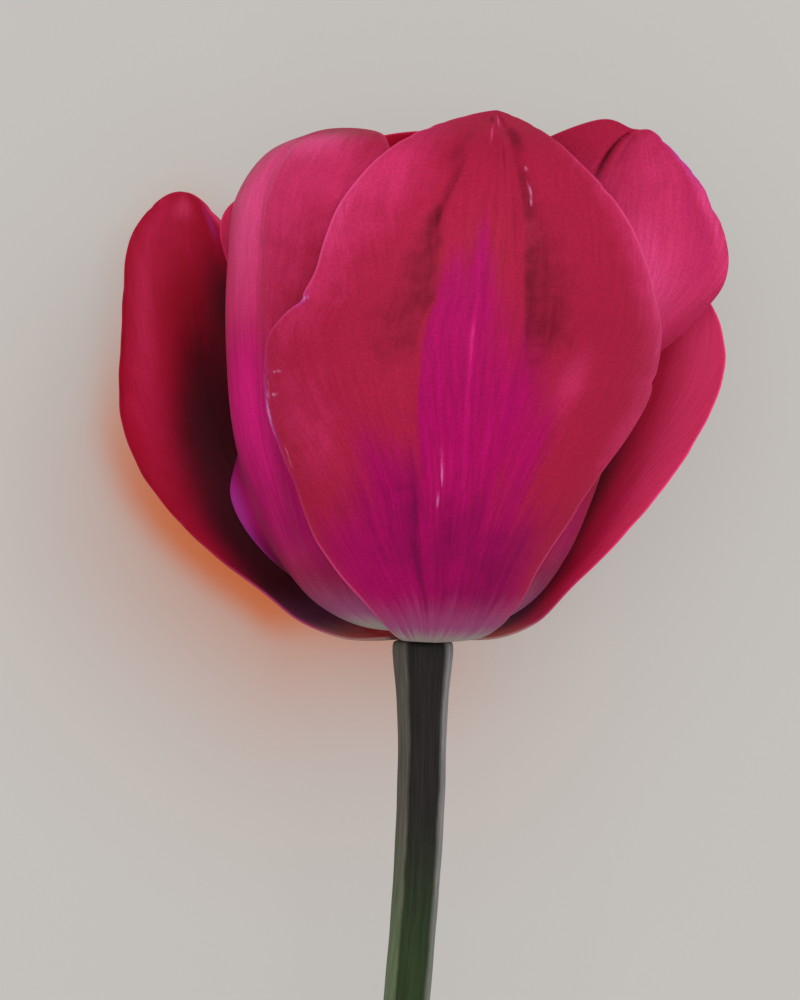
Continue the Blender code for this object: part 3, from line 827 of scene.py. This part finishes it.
def petal_material(petal, seed):
    """Satin petal skin: a crimson ground, a magenta flame, fine veins that fan out, a pale claw."""
    n = Nodes(petal.name)
    fine_veins = vein_noise(n, FINE_VEINS, seed, 5.0, 0.7, 0.3)
    broad_veins = vein_noise(n, BROAD_VEINS, seed, 3.0, 0.6, 0.2)
    skin_place = n.place(n.value("arc"), n.value("reach"), seed)
    mottle = n.noise(skin_place, 0.30, 5.0, 0.65, 0.4)
    grain = n.noise(skin_place, 3.0, 2.0, 0.6)

    fibrous = n.about_zero(broad_veins, 0.7)
    streaky = n.about_zero(fine_veins, 0.45)
    cloudy = n.about_zero(mottle, 0.7)
    # Paint over the crimson, each: mask, what breaks it up, fades in from, to, colour
    # Light, pale and vivid are partly the petals' own lighter tones and partly painted light; dark is
    # partly painted shade
    layers = (
        ("light", n.plus(n.times(streaky, 0.5), cloudy), 0.0, 1.0, ROSE),
        ("magenta", n.plus(fibrous, streaky), 0.2, 0.9, MAGENTA),
        ("deep", n.plus(fibrous, cloudy), 0.1, 1.1, PURPLE),
        ("vivid", streaky, 0.1, 1.1, VIVID_PINK),
        ("pale", streaky, 0.1, 1.1, PALE_ROSE),
        ("dark", n.plus(n.times(streaky, 1.4), cloudy), 0.15, 0.95, DARK_CRIMSON),
    )
    colour = CRIMSON
    for mask, texture, low, high, paint in layers:
        colour = n.mix(n.fade(n.plus(n.value(mask), texture), low, high), colour, paint)
    # Painted shade, very dark, in the crevices beside the inner cup
    crevice_shade = n.plus(n.value("crevice_shade"), n.times(streaky, 0.6))
    colour = n.mix(n.fade(crevice_shade, 0.2, 0.85), colour, CREVICE_SHADE_COLOUR)
    streakiness = n.fade(n.value("magenta"), 0.0, 0.8, 0.4, 1.0)
    colour = n.shaded(colour, fine_veins, 0.3, 0.7, 0.84, 1.14, streakiness)
    colour = n.shaded(colour, grain, 0.3, 0.7, 0.90, 1.10)
    # A pale rim along the margins: partly the petal's own paler edge, partly a painted highlight on the
    # rolled margin
    rim = n.plus(n.value("rim"), n.fade(mottle, 0.55, 0.75, 0.0, 0.3))
    colour = n.mix(n.times(n.fade(n.value("edge"), *RIM_FADE), rim), colour, PALE_ROSE)
    claw = n.plus(n.value("reach"), n.about_zero(broad_veins, CLAW_UNEVENNESS))
    colour = n.mix(n.fade(claw, *LILAC_FADE), colour, CLAW_LILAC)
    colour = n.mix(n.fade(claw, *GREEN_FADE), colour, CLAW_GREEN)
    colour = n.mix(n.times(n.value("violet"), 0.8), colour, VIOLET)
    scar = n.times(n.value("scar"), n.fade(fine_veins, 0.35, 0.6, 0.6, 1.3))
    colour = n.mix(n.fade(scar, 0.3, 0.9, 0.0, 0.8), colour, SCAR_PALE)

    n.fill(n.shader, {"Sheen Weight": 0.04, "Sheen Roughness": 0.35, "Sheen Tint": SHEEN_TINT})
    n.let_light_through(petal.thinness, n.mix(n.fade(crevice_shade, 0.0, 0.8), SEEN_THROUGH, HARDLY_THROUGH))
    skin = n.bump(grain, 0.25, 0.00006, n.bump(fine_veins, 0.35, 0.00012))
    return n.surface(colour, n.fade(mottle, 0.3, 0.7, 0.42, 0.55), 0.06, skin)


# The stem's line below the bloom: distance down it, sideways bow, drop towards the surface
STEM_LINE = [
    (0.0, 0.0, 0.0),
    (20.0, -0.3, -0.4),
    (43.0, -1.9, -2.6),
    (75.0, -5.3, -8.8),
    (108.0, -9.8, -18.6),
    (134.0, -13.2, -25.6),
    (STEM_LENGTH, -15.0, -26.6),
]
# Radius of the stem at distances down it: the post up to 0, the shoulder, and the stem. Rows stand
# close together before a sharp step, so that the smooth curve doesn't swell there
STEM_RADII = [
    (-2.35, 2.3),
    (-0.5, 2.42),
    (-0.1, 2.5),
    (0.15, 3.35),
    (0.45, 3.55),
    (1.0, 3.6),
    (2.5, 3.5),
    (7.0, 3.1),
    (20.0, 2.87),
    (50.0, 2.8),
    (100.0, 2.85),
    (STEM_LENGTH - 2.0, 3.0),
    (STEM_LENGTH - 0.5, 3.0),
    (STEM_LENGTH - 0.15, 2.98),
    (STEM_LENGTH, 2.9),
]
# Rings of the dished cut end, each: share of the radius, distance past the stem's end
CUT_RINGS = ((0.93, 0.05), (0.8, -0.05), (0.55, -0.25), (0.25, -0.35), (0.05, -0.38))
CUT_CORE = 0.98  # brings the cut's rings a little further inside the skin, which counts as 1


def angles_round(sides):
    """Evenly spaced angles once round, one for each side."""
    return np.linspace(0.0, 2 * math.pi, sides, endpoint=False)


def ring_points(centre, axis, radii):
    """A ring of points square to the axis, one for each radius, the first one uppermost."""
    centre = Vector(centre)
    axis = Vector(axis).normalized()
    across = Vector((0, 0, 1)).cross(axis)
    across = across.normalized() if across.length > 1e-6 else Vector((1, 0, 0))
    up = axis.cross(across)
    ring = []
    for side, radius in enumerate(radii):
        angle = 2 * math.pi * side / len(radii)
        ring.append(centre + (math.sin(angle) * across + math.cos(angle) * up) * float(radius))
    return ring


def join_rings(rings):
    """Points and faces of a closed solid through rings of the same number of points, ends filled."""
    sides = len(rings[0])
    points = [point for ring in rings for point in ring]
    faces = [tuple(range(sides))[::-1]]
    for ring in range(len(rings) - 1):
        for side in range(sides):
            here = ring * sides + side
            beside = ring * sides + (side + 1) % sides
            faces.append((here, beside, beside + sides, here + sides))
    faces.append(tuple(range(len(points) - sides, len(points))))
    return points, faces


def solid_from(name, points, faces, facts):
    """A piece of these points and faces."""
    mesh = bpy.data.meshes.new(name)
    mesh.from_pydata([Vector(point) * MM for point in points], [], faces)
    return skin_object(name, mesh, facts)


def above_board(ring):
    """The ring with what would sink into the board pressed flat on it."""
    return [Vector((point.x, point.y, max(point.z, -AXIS_HEIGHT))) for point in ring]


def make_stem():
    """The post and shoulder under the petals, the bare stem, and its dished cut end."""
    line = np.array(STEM_LINE)
    radii = np.array(STEM_RADII)
    top = np.linspace(STEM_RADII[0][0], STEM_TOP, STEM_TOP_RINGS)
    places = np.concatenate([top, np.linspace(STEM_TOP, STEM_LENGTH, STEM_RINGS)[1:]])
    track = smooth_rows(line[:, 0], line, places)
    slope = np.gradient(track, places, axis=0)
    thickness = smooth_rows(radii[:, 0], radii, places)[:, 1]
    angles = angles_round(STEM_SIDES)
    rings = []
    down = []
    core = []
    for (_, bow, drop), (_, bow_slope, drop_slope), depth, radius in zip(track, slope, places, thickness):
        ribs = 1 + 0.012 * np.cos(5 * angles + 0.02 * depth) + 0.008 * np.cos(9 * angles - 0.03 * depth)
        lumps = 1 + 0.006 * math.sin(0.31 * depth) + 0.006 * math.sin(0.83 * depth)
        ring = ring_points((bow, -depth, drop), (bow_slope, -1, drop_slope), radius * ribs * lumps)
        rings.append(above_board(ring))
        down.append(depth)
        core.append(1.0)
    _, bow, drop = track[-1]
    _, bow_slope, drop_slope = slope[-1]
    for share, past_end in CUT_RINGS:
        radius = thickness[-1] * share
        centre = (bow, -STEM_LENGTH - past_end, drop)
        ring = ring_points(centre, (bow_slope, -1, drop_slope), np.full(STEM_SIDES, radius))
        rings.append(above_board(ring))
        down.append(STEM_LENGTH)
        core.append(share * CUT_CORE)
    points, faces = join_rings(rings)
    facts = {
        "down": np.repeat(down, STEM_SIDES),
        "right": np.tile(np.sin(angles), len(rings)),
        "up": np.tile(np.cos(angles), len(rings)),
        "core": np.repeat(core, STEM_SIDES),
    }
    return solid_from("stem_skin", points, faces, facts)


STEM_DARK = (0.013, 0.011, 0.010)
STEM_OLIVE = (0.020, 0.032, 0.012)
# The next two are painted sheen and a painted highlight
STEM_SHEEN_GREY = (0.075, 0.064, 0.053)
STEM_HIGHLIGHT_PALE = (0.180, 0.172, 0.172)
STEM_LEAF = (0.090, 0.118, 0.060)
PITH = (0.42, 0.47, 0.24)
STEM_GREENS = (18.0, 40.0)  # distances down the stem between which it turns green


def stem_noise(n, around, along, scale):
    """Noise on the stem's skin, squeezed so many times round it and along it."""
    right = n.times(n.value("right"), around)
    up = n.times(n.value("up"), around)
    return n.noise(n.place(right, up, n.times(n.value("down"), along)), scale, 4.0, 0.6)


def stem_material():
    """Very dark on top, with painted sheen on its flanks and a painted highlight down its right side,
    greener lower down, and pale pith.
    """
    n = Nodes("stem")
    right = n.value("right")
    up = n.value("up")
    core = n.value("core")
    fibre = stem_noise(n, 9.0, 0.10, 1.5)
    cloud = stem_noise(n, 2.0, 0.25, 1.2)
    place = n.plus(right, n.about_zero(cloud, 0.12))
    green = n.fade(n.value("down"), *STEM_GREENS)
    centre = n.mix(green, STEM_DARK, STEM_OLIVE)
    # Painted sheen greys the left side and underside, and a painted highlight runs down the right side;
    # both turn greener lower down
    sheen_flank = n.mix(green, STEM_SHEEN_GREY, STEM_LEAF)
    edge = n.mix(n.times(green, 0.4), STEM_HIGHLIGHT_PALE, STEM_LEAF)
    colour = n.mix(n.fade(place, -0.45, -0.62), centre, sheen_flank)
    colour = n.mix(n.fade(place, 0.66, 0.90), colour, edge)
    colour = n.mix(n.fade(up, 0.15, -0.4), colour, sheen_flank)
    colour = n.shaded(colour, fibre, 0.25, 0.75, 0.7, 1.35)
    strands = n.noise(n.place(n.times(right, core), n.times(up, core)), 7.0, 2.0, 0.6)
    pith = n.mix(n.fade(strands, 0.45, 0.62), PITH, STEM_LEAF)
    colour = n.mix(n.fade(core, 0.97, 0.9), colour, pith)
    return n.surface(colour, n.fade(cloud, 0.3, 0.7, 0.38, 0.55), 0.08, n.bump(fibre, 0.4, 0.0002))


# Height and radius up the pistil, and how strongly the section is drawn into three lobes
PISTIL_LINE = [
    (POST_HEIGHT + 0.3, 1.45, 0.0),
    (4.6, 1.45, 0.0),
    (6.5, 2.1, 0.03),
    (10.0, 2.8, 0.06),
    (15.0, 3.2, 0.07),
    (20.0, 3.05, 0.07),
    (23.5, 2.35, 0.06),
    (25.0, 2.0, 0.10),
    (26.0, 2.7, 0.28),
    (27.2, 3.6, 0.36),
    (28.4, 3.3, 0.34),
    (29.0, 1.9, 0.25),
]
PISTIL_SIDES = 96
PISTIL_RINGS = 120


def make_pistil():
    """The green ovary with its three-lobed, crinkled stigma."""
    table = np.array(PISTIL_LINE)
    heights = np.linspace(table[0, 0], table[-1, 0], PISTIL_RINGS)
    profile = smooth_rows(table[:, 0], table, heights)
    angles = angles_round(PISTIL_SIDES)
    rings = []
    for height, radius, lobing in profile:
        crinkle = 0.05 * smoothstep(25.0, 26.5, height) * np.cos(21 * angles + 1.3 * height)
        groove = -0.05 * smoothstep(5.0, 9.0, height) * np.exp(-((np.cos(1.5 * angles) / 0.12) ** 2))
        reach = radius * (1 + lobing * np.cos(3 * angles) + crinkle + groove)
        rings.append([Vector((r * math.sin(a), height, r * math.cos(a))) for r, a in zip(reach, angles)])
    points, faces = join_rings(rings)
    return solid_from("pistil_skin", points, faces, {"up": np.repeat(profile[:, 0], PISTIL_SIDES)})


OVARY_GREEN = (0.26, 0.36, 0.13)
STIGMA_CREAM = (0.62, 0.55, 0.26)
STIGMA_FOOT = (24.0, 26.5)  # heights between which the ovary turns into the stigma


def pistil_material():
    """Smooth pale green with a creamy, downy stigma."""
    n = Nodes("pistil")
    up = n.value("up")
    grain = n.noise(n.object_place(), 900.0, 3.0, 0.6)
    colour = n.mix(n.fade(up, *STIGMA_FOOT), OVARY_GREEN, STIGMA_CREAM)
    colour = n.shaded(colour, grain, 0.3, 0.7, 0.85, 1.15)
    return n.surface(colour, n.fade(up, *STIGMA_FOOT, 0.4, 0.8), 0.3, n.bump(grain, 0.3, 0.00015))


STAMEN_COUNT = 6
STAMEN_SIDES = 32
STAMEN_RINGS = 90
ANTHER_FOOT = 11.6
# Distance from the axis, height and radius up one stamen: the thread, the joint and the pollen sac
STAMEN_LINE = [
    (2.25, 3.2, 0.40),
    (3.1, 5.6, 0.50),
    (4.1, 8.6, 0.55),
    (4.8, 11.0, 0.42),
    (5.0, 11.8, 0.80),
    (5.2, 13.2, 1.15),
    (5.4, 16.5, 1.20),
    (5.5, 19.5, 1.10),
    (5.5, 21.3, 0.75),
    (5.5, 22.0, 0.30),
]


def make_stamens():
    """Six stamens round the pistil's foot, each a thread and a grooved pollen sac."""
    table = np.array(STAMEN_LINE)
    heights = np.linspace(table[0, 1], table[-1, 1], STAMEN_RINGS)
    profile = smooth_rows(table[:, 1], table, heights)
    angles = angles_round(STAMEN_SIDES)
    all_points = []
    all_faces = []
    for number in range(STAMEN_COUNT):
        turn = 2 * math.pi * (number + 0.5) / STAMEN_COUNT
        line = [Vector((r * math.sin(turn), h, r * math.cos(turn))) for r, h, _ in profile]
        rings = []
        for place, (_, height, radius) in enumerate(profile):
            ahead = line[min(place + 1, len(line) - 1)]
            behind = line[max(place - 1, 0)]
            sac = float(smoothstep(ANTHER_FOOT, ANTHER_FOOT + 1.0, height))
            grooves = 1 - 0.10 * sac * (1 - np.cos(4 * angles))
            grooves += 0.02 * sac * np.sin(9 * angles + 5 * height)
            rings.append(ring_points(line[place], ahead - behind, radius * grooves))
        points, faces = join_rings(rings)
        first = len(all_points)
        all_points += points
        all_faces += [tuple(first + corner for corner in face) for face in faces]
    up = np.tile(np.repeat(profile[:, 1], STAMEN_SIDES), STAMEN_COUNT)
    return solid_from("stamens_skin", all_points, all_faces, {"up": up})


THREAD = (0.30, 0.20, 0.16)
POLLEN = (0.030, 0.014, 0.040)


def stamens_material():
    """Powdery dark purple pollen sacs on paler threads."""
    n = Nodes("stamens")
    powder = n.noise(n.object_place(), 2500.0, 3.0, 0.7)
    colour = n.mix(n.fade(n.value("up"), ANTHER_FOOT - 1.0, ANTHER_FOOT + 0.4), THREAD, POLLEN)
    colour = n.shaded(colour, powder, 0.3, 0.7, 0.6, 1.6)
    return n.surface(colour, 0.9, 0.2, n.bump(powder, 0.7, 0.0002))


FLOOR_COLOUR = (0.17, 0.165, 0.158)
FLOOR_GLOW = (0.335, 0.325, 0.311)
FLOOR_REACH = 2000.0
FLOOR_FINE_REACH = 80.0  # the finer cells carry the light that falls through the petal
FLOOR_FINE_LINES = 201
FLOOR_AHEAD = 20.0  # how far its middle lies ahead of the bloom's base

# Painted light and warm shadow on the board beside the open left petal, where light through it would fall
PETAL_LIGHT_ON_BOARD = (0.17, 0.080, 0.028)
PETAL_LIGHT_COLOUR = (0.40, 0.055, 0.0)
PETAL_LIGHT_SLOPE = np.array([-0.07, -0.04])  # how far it travels sideways on its way down
PETAL_LIGHT_EDGE = 3.4
PETAL_LIGHT_EDGE_SHARE = 0.65
# The halo, wider and weaker, reads as a painted warm shadow below the petal
PETAL_LIGHT_HALO = 12.0
PETAL_LIGHT_HALO_SHARE = 0.45
PETAL_LIGHT_DRIFT = np.array([2.5, -6.0])  # from the bright edge to the middle of its halo
PETAL_LIGHT_FADE = (12.0, 48.0)  # heights between which it weakens towards the petal's tip
PETAL_LIGHT_AT_TIP = 0.15
PETAL_LIGHT_AT_CLAW = 0.55
CLAW_TOP = 5.0
ROWS_APART = 2  # these rows and columns of the petal are close enough together for its light
COLUMNS_APART = 6


def floor_material():
    """A pale matt board with a faint tooth. It glows evenly, with painted orange light and painted warm
    shadow beside the open left petal.
    """
    n = Nodes("floor")
    where = n.object_place()
    board = n.shaded(FLOOR_COLOUR, n.noise(where, 6.0, 3.0, 0.5), 0.3, 0.7, 0.985, 1.015)
    # Painted orange light beside the open petal; elsewhere the board glows evenly
    through = n.value("through")
    glow = n.mix(through, FLOOR_GLOW, PETAL_LIGHT_COLOUR)
    n.fill(n.shader, {"Emission Color": glow, "Emission Strength": 1.0})
    tooth = n.bump(n.noise(where, 900.0, 2.0, 0.5), 0.08, 0.0002)
    # The board's colour also turns orange and darker where the painted light and shadow lie
    return n.surface(n.mix(through, board, PETAL_LIGHT_ON_BOARD), 0.9, 0.1, tooth)


def petal_light(places):
    """How much painted light and warm shadow from the open left petal lies on these points of the board.
    """
    points, *_ = petal_sheet(OUTER_LEFT)
    points = points[::ROWS_APART, ::COLUMNS_APART].reshape(-1, 3)
    spots = points[:, :2] + (points[:, 2:] + AXIS_HEIGHT) * PETAL_LIGHT_SLOPE
    weight = 1 - (1 - PETAL_LIGHT_AT_TIP) * smoothstep(*PETAL_LIGHT_FADE, points[:, 1])
    weight *= PETAL_LIGHT_AT_CLAW + (1 - PETAL_LIGHT_AT_CLAW) * smoothstep(0.0, CLAW_TOP, points[:, 1])
    light = np.zeros(len(places))
    for spot, share in zip(spots, weight):
        away = np.hypot(*(places - spot).T)
        near = PETAL_LIGHT_EDGE_SHARE * np.exp(-((away / PETAL_LIGHT_EDGE) ** 2))
        far_away = np.hypot(*(places - spot - PETAL_LIGHT_DRIFT).T)
        far = PETAL_LIGHT_HALO_SHARE * np.exp(-far_away / PETAL_LIGHT_HALO)
        light = np.maximum(light, share * (near + far))
    return light


def make_floor():
    """The board, with finer cells round the bloom."""
    mesh = bpy.data.meshes.new("floor")
    near = np.linspace(-FLOOR_FINE_REACH, FLOOR_FINE_REACH, FLOOR_FINE_LINES)
    lines = np.concatenate([[-FLOOR_REACH], near, [FLOOR_REACH]])
    x, y = np.meshgrid(lines, lines + FLOOR_AHEAD)
    places = np.stack([x.ravel(), y.ravel()], axis=1)
    faces = quads(np.arange(x.size).reshape(x.shape))
    base = np.array(BLOOM_BASE)
    corners = np.concatenate([places + base, np.zeros((len(places), 1))], axis=1) * MM
    mesh.from_pydata(corners.tolist(), [], faces.tolist())
    add_fact(mesh, "through", petal_light(places))
    mesh.materials.append(floor_material())
    floor = add_object("floor", mesh)


# Camera: straight above, looking down, with the bloom's mouth at the top of the picture
CAMERA_OFFSET = (-2.76, 16.8)  # from the bloom's base, in millimetres
CAMERA_DISTANCE = 450.0  # above the bloom's axis
CAMERA_LENS = 135.0
CAMERA_SENSOR = 36.0
CAMERA_NEAR = 0.01

DAYLIGHT = (1.0, 0.98, 0.95)
ROOM_LIGHT = (0.97, 0.98, 1.0, 1.0)
ROOM_STRENGTH = 0.75
LIGHT_DISTANCE = 1.0
LIT_AHEAD = 0.02  # the lights look at a point this far ahead of the bloom's base
LIT_HEIGHT = 0.02
# Soft square lights, each: name, direction from the bloom, size in metres, power in watts
LIGHTS = (
    ("window", (0.45, 0.40, 1.0), 0.4, 2.5),
    ("overhead", (0.0, 0.10, 1.0), 0.5, 2.2),
    ("left", (-0.50, 0.15, 1.0), 0.5, 1.6),
    ("right", (0.95, 0.0, 0.8), 0.4, 0.9),
)


def make_camera():
    """The photo's view."""
    data = bpy.data.cameras.new("camera")
    data.lens = CAMERA_LENS
    data.sensor_width = CAMERA_SENSOR
    data.clip_start = CAMERA_NEAR
    camera = add_object("camera", data)
    camera.location = (
        (BLOOM_BASE[0] + CAMERA_OFFSET[0]) * MM,
        (BLOOM_BASE[1] + CAMERA_OFFSET[1]) * MM,
        (AXIS_HEIGHT + CAMERA_DISTANCE) * MM,
    )
    bpy.context.scene.camera = camera


def make_light(name, direction, size, power):
    """A soft square light that looks at the bloom."""
    data = bpy.data.lights.new(name, "AREA")
    data.size = size
    data.energy = power
    data.color = DAYLIGHT
    light = add_object(name, data)
    target = Vector((BLOOM_BASE[0] * MM, BLOOM_BASE[1] * MM + LIT_AHEAD, LIT_HEIGHT))
    towards = Vector(direction).normalized()
    light.location = target + towards * LIGHT_DISTANCE
    light.rotation_euler = towards.to_track_quat("Z", "Y").to_euler()


def make_room():
    """Even light from all round, and plain colours in the picture."""
    world = bpy.data.worlds.new("room")
    world.use_nodes = True
    background = world.node_tree.nodes["Background"].inputs
    background["Color"].default_value = ROOM_LIGHT
    background["Strength"].default_value = ROOM_STRENGTH
    bpy.context.scene.world = world
    bpy.context.scene.view_settings.view_transform = "Standard"
    bpy.context.scene.view_settings.look = "None"


def dress(obj, node, material):
    """Puts a piece on the body in place of its CAD node."""
    obj.data.materials.append(material)
    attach(obj, "root")
    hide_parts(node)


def main():
    """The photo's view, the light, the board and the nine pieces."""
    make_camera()
    for light in LIGHTS:
        make_light(*light)
    make_room()
    make_floor()
    dress(make_stem(), "stem", stem_material())
    dress(make_pistil(), "pistil", pistil_material())
    dress(make_stamens(), "stamens", stamens_material())
    petals = (OUTER_FRONT, INNER_LEFT, OUTER_LEFT, OUTER_RIGHT, INNER_RIGHT, INNER_BACK)
    for number, petal in enumerate(petals):
        dress(make_petal(petal), petal.name, petal_material(petal, SEED_STEP * number))


main()
